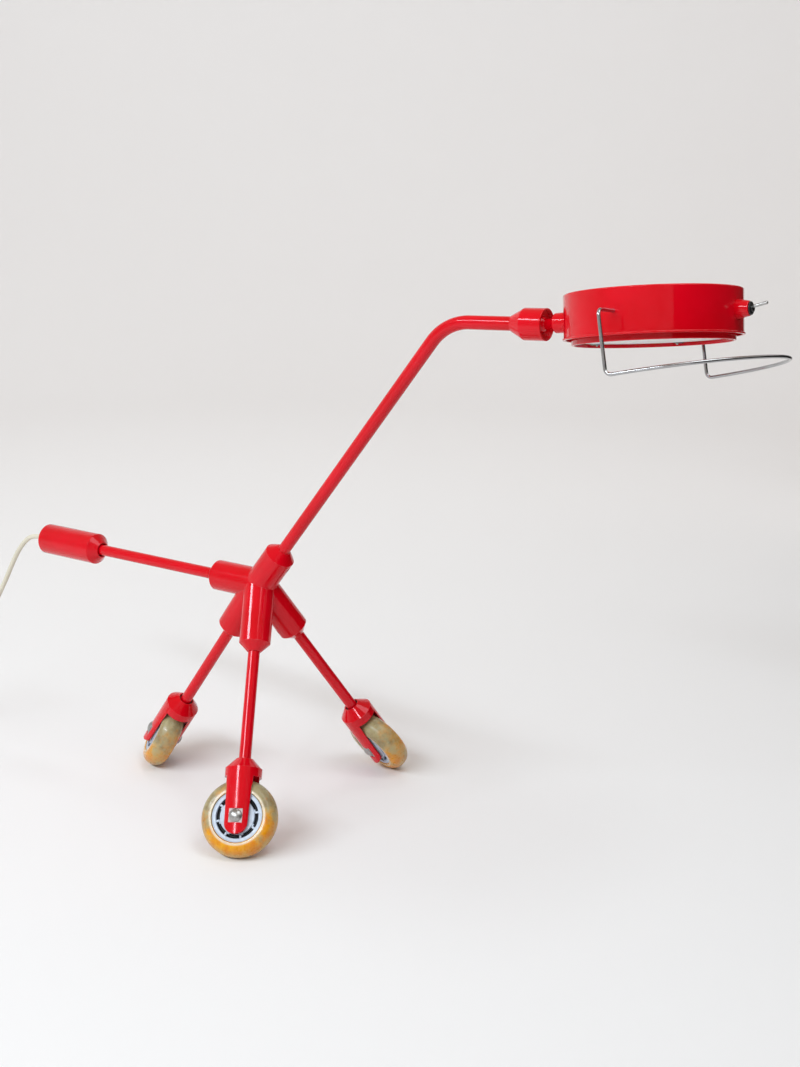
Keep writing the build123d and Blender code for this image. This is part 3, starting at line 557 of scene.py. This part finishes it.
def make_stand():
    """Legs, tail, the weight on the tail and the strain relief in the weight's end."""
    for side in SIDES:
        make_rod(f"leg_{side}", FORKS[side], LEG_END, f"leg_rod_{side}")
    make_rod("tail_bar", TAIL, TAIL_END, "tail_rod")
    near, far, body_r, lip_r = 224.4, 317.5, 17.0, 8.5
    bore_r, mouth_r, mouth, lead_r, lead_depth = 6.05, 7.5, 6, 4.1, 14
    chamfer = body_r - lip_r
    weight = turned("tail_weight", [
        (bore_r, near + mouth), (mouth_r, near + mouth), (mouth_r, near, 0.2), (lip_r, near, 0.4),
        (body_r, near + chamfer, 0.8), (body_r, far - chamfer, 0.8), (lip_r, far, 0.6),
        (lead_r, far, 0.3), (lead_r, far - lead_depth), (bore_r, far - lead_depth),
    ], TAIL, "stand", ["counterweight"], closed=True)
    finish_in(weight, "red_paint")
    gland = turned("lead_gland", [
        (0, far - 6), (3.95, far - 6), (3.95, far - 1), (3.75, far + 0.6, 0.5), (3.05, far + 3, 0.4),
        (0, far + 3),
    ], TAIL, "stand", ["cord_gland"])
    finish_in(gland, "cream_cable")


# ---------------------------------------------------------------- wheels
WHEEL_R, HALF_W, CROWN_R = 38.0, 12.0, 28.0
CORE_R, CORE_HALF = 25.0, 11.2
SLOT_IN, SLOT_OUT = 16.9, 21.4   # between the core's hub and its rim


def tyre_outline():
    """Half an ellipse over two flat sides, its bore as wide as the core."""
    crown = []
    steps = 26
    for k in range(steps + 1):
        angle = -pi / 2 + pi * k / steps
        crown.append((CROWN_R + (WHEEL_R - CROWN_R) * cos(angle), HALF_W * sin(angle)))
    bore = [(CORE_R, CORE_HALF), (CORE_R, -CORE_HALF)]
    return [*crown, (CORE_R + 1.0, HALF_W, 0.3), *bore, (CORE_R + 1.0, -HALF_W, 0.3)]


def core_rim(side, place):
    """Rim and hub of the core, each with a stepped face."""
    rim = turned(f"rim_{side}", [
        (CORE_R, -CORE_HALF, 0.2), (CORE_R, CORE_HALF, 0.2), (24.3, CORE_HALF, 0.2), (24.0, 10.9, 0.2),
        (21.1, 10.9, 0.5), (21.1, -10.9, 0.5), (24.0, -10.9, 0.2), (24.3, -CORE_HALF, 0.2),
    ], place, f"wheel_{side}", [f"wheel_core_{side}"], closed=True)
    hub = turned(f"core_hub_{side}", [
        (17.3, -10.6, 0.5), (17.3, 10.6, 0.5), (12.0, 10.9, 0.3), (11.0, 10.9, 0.2), (11.0, 4.5),
        (9.4, 4.5), (9.4, -4.5), (11.0, -4.5), (11.0, -10.9, 0.2), (12.0, -10.9, 0.3),
    ], place, f"wheel_{side}", [f"wheel_core_{side}"], closed=True)
    return [rim, hub]


def core_ribs(side, place):
    """Eight ribs that join the rim to the hub; each widens into a foot beside its slot."""
    bm = bmesh.new()
    ribs, first_turn, half = 8, 0.3, 10.1
    rib_w, foot_w, foot_end = 2.2, 4.2, 18.4
    for k in range(ribs):
        for high, width in ((SLOT_OUT, rib_w), (foot_end, foot_w)):
            made = bmesh.ops.create_cube(bm, size=1.0)["verts"]
            size = Matrix.Diagonal(((high - SLOT_IN) * MM, width * MM, 2 * half * MM, 1.0))
            shift = Matrix.Translation(((SLOT_IN + high) / 2 * MM, (width - rib_w) / 2 * MM, 0))
            spin = Matrix.Rotation(2 * pi * (k + first_turn) / ribs, 4, "Z")
            bmesh.ops.transform(bm, matrix=spin @ shift @ size, verts=made)
    piece = add_object(f"core_ribs_{side}", bm, place, f"wheel_{side}", [f"wheel_core_{side}"])
    bevel_edges(piece, 0.35)
    return piece


def make_wheel(side):
    place, body = WHEELS[side], f"wheel_{side}"
    tyre = turned(f"tread_{side}", tyre_outline(), place, body, [f"tyre_{side}"], closed=True,
                  steps=128)
    finish_in(tyre, "amber_tyre")
    for piece in [*core_rim(side, place), core_ribs(side, place)]:
        finish_in(piece, "white_core")
    # Black ring at the floor of the core's slots: painted shade that makes the shallow slots read dark.
    half = 7.5
    slot_shade_web = turned(f"core_web_{side}", [
        (SLOT_IN, -half), (SLOT_OUT, -half), (SLOT_OUT, half), (SLOT_IN, half),
    ], place, body, [f"wheel_core_{side}"], closed=True, steps=64)
    finish_in(slot_shade_web, "black_nylon")


def make_axle(side):
    """Two domed heads on the fork's seats and the shank between them."""
    place, body = WHEELS[side], f"fork_{side}"
    seat, brim, tip, head_r, rise = 17.2, 17.9, 20.4, 6.4, 2.5
    dome_r = (head_r**2 + rise**2) / (2 * rise)
    dome_steps = 12
    for name, node, flip in (("axle_head", "axle_screw", 0), ("axle_tail", "axle_barrel", 180)):
        dome = [(0, seat), (head_r, seat), (head_r, brim, 0.3)]
        for k in range(1, dome_steps + 1):
            r = head_r * (1 - k / dome_steps)
            dome.append((r, tip - dome_r + sqrt(dome_r**2 - r**2)))
        head = turned(f"{name}_{side}", dome, place @ turn_about("X", flip), body,
                      [f"{node}_{side}"], steps=64)
        finish_in(head, "steel")
    shank_r, half = 3.99, 17.3
    shank = turned(f"axle_shank_{side}", [(0, -half), (shank_r, -half), (shank_r, half), (0, half)],
                   place, body, [f"axle_barrel_{side}"], steps=48)
    finish_in(shank, "steel")


# ---------------------------------------------------------------- arm and ball joint
TUBE_R = 6.35
TUBE_START, TUBE_CORNER, TUBE_BEND = 28.5, 358.0, 52.0   # from the hub point, and the bend's radius
CORNER_TO_BALL = 94.0
CUP_BACK, CUP_DEPTH = 25.5, 10.5     # the cup's end behind the ball, and how far the tube goes in


def make_arm():
    neck_along = joint_axis("neck_turn")
    start = neck_along * TUBE_START
    vertex = neck_along * TUBE_CORNER
    end = vertex + UPPER_ALONG * (CORNER_TO_BALL - CUP_BACK + CUP_DEPTH)
    line = bent_line([start, vertex, end], [TUBE_BEND], step=radians(2))
    tube = pipe("arm_tube", line, TUBE_R, Matrix.Translation(HUB), "neck", ["neck_tube"], steps=64)
    finish_in(tube, "red_paint")
    cup = turned("joint_cup", [
        (6.42, -CUP_BACK, 0.2), (7.6, -CUP_BACK, 0.5), (14.2, -13.0, 1.0), (14.2, 8.0, 0.5),
        (12.7, 8.0, 0.3), (12.7, 0.2), (10.6, 0.2), (10.2, -2.9), (9.0, -5.6), (7.2, -7.8),
        (4.0, -9.8), (4.0, -14.4), (6.42, -14.5),
    ], CUP, "neck", ["ball_cup"], closed=True)
    finish_in(cup, "red_paint")
    collar = turned("joint_collar", [
        (12.65, 0.4), (12.65, 4.5, 0.3), (7.35, 4.5, 0.3), (8.2, 2.6), (8.55, 0.4),
    ], CUP, "neck", ["ball_collar"], closed=True)
    finish_in(collar, "red_paint")


def make_stem():
    """Ball, pin and stem in one turned piece, its far end let into the drum's wall."""
    ball_r, pin_r, stem_r, pin_end, stem_end = 8.5, 4.2, 8.7, 13.7, 34.9
    outline = [(0, -ball_r)]
    ball_steps = 18
    ball_arc = pi - acos(sqrt(ball_r**2 - pin_r**2) / ball_r)
    for k in range(1, ball_steps + 1):
        angle = ball_arc * k / ball_steps
        outline.append((ball_r * sin(angle), -ball_r * cos(angle)))
    outline += [(pin_r, pin_end), (5.0, pin_end, 0.4), (stem_r, 17.4, 0.9), (stem_r, stem_end),
                (0, stem_end)]
    stem = turned("joint_stem", outline, STEM, "head", ["ball_stem"])
    finish_in(stem, "red_paint")


# ---------------------------------------------------------------- head
DRUM_R, RIM_R, DRUM_TOP, WALL = 73.2, 74.2, 18.75, 1.5


def make_drum():
    """Shallow drum, open below, with the glass held in its own ring under the rim."""
    shell = turned("drum", [
        (0, DRUM_TOP), (DRUM_R, DRUM_TOP, 1.3), (DRUM_R, 1.7 - DRUM_TOP, 0.3),
        (RIM_R, 1.5 - DRUM_TOP, 0.4), (RIM_R, -DRUM_TOP, 0.5), (DRUM_R - WALL, -DRUM_TOP, 0.4),
        (DRUM_R - WALL, DRUM_TOP - WALL, 1.0), (0, DRUM_TOP - WALL),
    ], HEAD, "head", ["drum_shell"], steps=192)
    finish_in(shell, "red_paint")
    low = -DRUM_TOP - 4.5
    ring_in, ring_out, flange_r, flange, ring_h = 64.8, 67.0, 71.4, 9.0, 10.5
    ring = turned("glass_ring", [
        (ring_in, low, 0.5), (ring_out, low, 0.9), (ring_out, low + flange, 1.2),
        (flange_r, low + flange, 0.4), (flange_r, low + ring_h), (ring_in, low + ring_h),
    ], HEAD, "head", ["inner_ring"], closed=True, steps=192)
    finish_in(ring, "red_paint")
    glass_r, glass_low, glass_top = 64.3, low + 3.2, low + 6.2
    glass = turned("glass", [
        (0, glass_low), (glass_r, glass_low, 0.6), (glass_r, glass_top, 0.4), (0, glass_top),
    ], HEAD, "head", ["diffuser"], steps=192)
    finish_in(glass, "opal_glass")


def make_switch():
    """Cone on the drum's wall, the switch's washer and its lever, which leans 12 degrees at rest."""
    place = HEAD @ turn_about("Y", 90)
    boss = turned("switch_cone", [
        (0, 71.8), (8.5, 71.8), (5.95, 83.4, 1.0), (3.3, 83.4, 0.3), (3.3, 80), (0, 80),
    ], place, "head", ["switch_boss"], steps=64)
    finish_in(boss, "red_paint")
    collar = turned("switch_washer", [
        (2.9, 83.2), (5.6, 83.2), (5.2, 84.6, 0.5), (2.7, 84.6, 0.3),
    ], place, "head", ["switch_collar"], closed=True, steps=64)
    finish_in(collar, "black_switch")
    upright = frame_at(joint_place("toggle_throw"), HEAD_AHEAD, HEAD_LEFT)
    lever = turned("switch_lever", [
        (0, 0), (1.15, 0), (1.15, 3), (1.4, 16.0, 0.5), (1.4, 17.4, 0.5), (0.8, 18.0, 0.3), (0, 18.0),
    ], upright @ turn_about("X", -12.0), "toggle", ["toggle_lever"], steps=48)
    finish_in(lever, "steel")


def make_bail():
    """One bent wire: in through the drum's wall on each side, down, then round a half circle."""
    half, drop, bend, inner, run, loop_steps, wire_r = 99.5, 51.0, 5.0, 66.0, 30, 72, 1.5
    corners = [(0, -inner, 0), (0, -half, 0), (0, -half, -drop), (run, -half, -drop)]
    side = bent_line(corners, [bend, bend], step=radians(7))[:-1]
    angles = [pi * k / loop_steps for k in range(1, loop_steps)]
    loop = [Vector((bend + half * sin(a), -half * cos(a), -drop)) for a in angles]
    line = side + loop + [Vector((p.x, -p.y, p.z)) for p in reversed(side)]
    bail = pipe("bail", line, wire_r, BAIL, "bail", ["bail_wire"], steps=24)
    finish_in(bail, "chrome_wire")


make_stand()
for side_name in SIDES:
    make_wheel(side_name)
    make_axle(side_name)
make_arm()
make_stem()
make_drum()
make_switch()
make_bail()


# ---------------------------------------------------------------- stage and light
def make_stage():
    """Pale paper floor that rises slowly into a low wall all round."""
    bm = bmesh.new()
    inner_r, floor_r, bend_r, wall, steps, rises = 0.75, 2.7, 2.0, 4.6, 96, 24
    bend = [pi / 2 * k / rises for k in range(rises + 1)]
    profile = [(0.0, 0.0), (inner_r, 0.0)]
    profile += [(floor_r + bend_r * sin(a), bend_r * (1 - cos(a))) for a in bend]
    profile.append((floor_r + bend_r, wall))
    rings = [add_circle(bm, r, z, steps) for r, z in profile]
    for low, high in zip(rings, rings[1:]):
        join_rings(bm, low, high)
    floor = add_object("paper_floor", bm)
    look = Shading("paper", Specular_IOR_Level=0.1, Roughness=0.8)
    clouds = look.noise(0.9, 2.0)
    look.use("Base Color", look.mix(clouds, colour(0.858, 0.853, 0.855), colour(0.876, 0.874, 0.878)))
    floor.data.materials.append(look.material)


def make_flag():
    """Low dark screen, unseen, that keeps the lamp's head side and far side in shade."""
    bm = bmesh.new()
    radius, low, high, start, end, steps = 1.55, 0.03, 1.0, -34.0, 80.0, 24
    columns = []
    for k in range(steps + 1):
        angle = radians(start + (end - start) * k / steps)
        x, y = radius * cos(angle), radius * sin(angle)
        columns.append([bm.verts.new((x, y, z)) for z in (low, high)])
    for left, right in zip(columns, columns[1:]):
        bm.faces.new((left[0], right[0], right[1], left[1]))
    flag = add_object("dark_screen", bm)
    flag.visible_camera = False
    look = Shading("black_felt", Specular_IOR_Level=0.0, Roughness=1.0)
    clouds = look.noise(8.0, 2.0)
    look.use("Base Color", look.mix(clouds, colour(0.030, 0.028, 0.027), colour(0.045, 0.042, 0.040)))
    flag.data.materials.append(look.material)


def area_light(name, place, target, size, power, tint):
    """Rectangular light that points at its target and isn't seen itself."""
    data = bpy.data.lights.new(name, "AREA")
    data.shape = "RECTANGLE"
    data.size, data.size_y = size
    data.energy = power
    data.color = tint
    light = bpy.data.objects.new(name, data)
    light.matrix_world = frame_at(Vector(place), Vector(place) - Vector(target), (0.0, 0.0, 1.0))
    light.visible_camera = False
    bpy.context.scene.collection.objects.link(light)


def make_light():
    """A narrow, tall window, daylight from above, a wash on the wall and a warm room all round."""
    world = bpy.data.worlds.new("studio")
    world.use_nodes = True
    background = world.node_tree.nodes["Background"]
    background.inputs["Color"].default_value = (1.0, 0.81, 0.67, 1.0)
    background.inputs["Strength"].default_value = 0.455
    scene = bpy.context.scene
    scene.world = world
    scene.view_settings.view_transform = "Standard"
    middle, wall = (0.0, 0.0, 0.25), (-3.3, 3.4, 1.3)
    area_light("window", (-0.56, -2.50, 2.28), middle, (0.28, 3.4), 83.0, (0.83, 0.93, 1.0))
    area_light("skylight", (1.3, -0.2, 2.9), middle, (1.6, 1.6), 26.0, (0.86, 0.95, 1.0))
    area_light("wall_wash", (-0.9, 1.3, 3.3), wall, (2.6, 0.6), 31.0, (0.90, 0.96, 1.0))


make_stage()
make_flag()
make_light()
